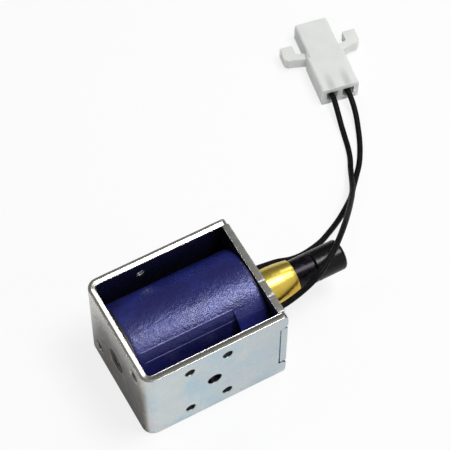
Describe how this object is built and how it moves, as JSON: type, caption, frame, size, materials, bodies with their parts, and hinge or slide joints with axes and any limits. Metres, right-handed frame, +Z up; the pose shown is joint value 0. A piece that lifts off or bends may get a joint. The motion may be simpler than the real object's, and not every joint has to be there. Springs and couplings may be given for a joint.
{
  "type": "push-pull solenoid",
  "caption": "Open-frame push-pull solenoid: folded steel yoke, taped coil, brass guide sleeve, spring-returned plunger with rubber cap, and two leads to a nylon plug.",
  "frame": {"origin": "bottom centre of the solenoid without its leads and plug, on the surface it stands on", "axes": "+X along the plunger towards its rubber cap, +Z up through the open top of the yoke, -Y towards the wall with the four screw holes"},
  "size_m": [0.1046, 0.0866, 0.027],
  "materials": {
    "zinc_plate": "bright zinc plate with a faint blue and pink passivation",
    "core_steel": "turned steel, dull",
    "brass": "polished brass",
    "black_nylon": "moulded black nylon",
    "copper_wire": "enamelled copper wire",
    "paper_tape": "insulating tape",
    "shrink_sleeve": "shrunk sleeving",
    "blue_tape": "smooth blue polyester tape, semi-gloss",
    "natural_nylon": "natural moulded nylon, satin",
    "black_pvc": "black insulated wire, satin",
    "tinned_brass": "tin plate",
    "black_nickel": "black nickel plate, satin",
    "bright_steel": "bright drawn steel",
    "black_rubber": "moulded rubber, satin"
  },
  "bodies": {
    "frame": {"yoke": "zinc_plate", "end_plate": "zinc_plate", "stop_core": "core_steel", "residual_washer": "brass", "bobbin": "black_nylon", "coil_winding": "copper_wire", "splice_wrap": "paper_tape", "splice_front": "shrink_sleeve", "splice_rear": "shrink_sleeve", "winding_tape": "blue_tape", "guide_sleeve": "brass", "lead_bush_front": "natural_nylon", "lead_bush_rear": "natural_nylon", "lead_tail_front": "black_pvc", "lead_tail_rear": "black_pvc", "lead_front": "black_pvc", "lead_rear": "black_pvc", "plug_housing": "natural_nylon", "contact_front": "tinned_brass", "contact_rear": "tinned_brass", "return_spring": "bright_steel"},
    "plunger": {"plunger": "black_nickel", "push_pin": "bright_steel", "plunger_cap": "black_rubber"}
  },
  "joints": [
    {"name": "plunger_slide", "type": "slide", "parent": "frame", "child": "plunger", "axis": [1, 0, 0], "range_m": [-0.005, 0], "stiffness_N_per_m": 60, "springref_m": 0.006, "deforming": ["return_spring"]}
  ]
}
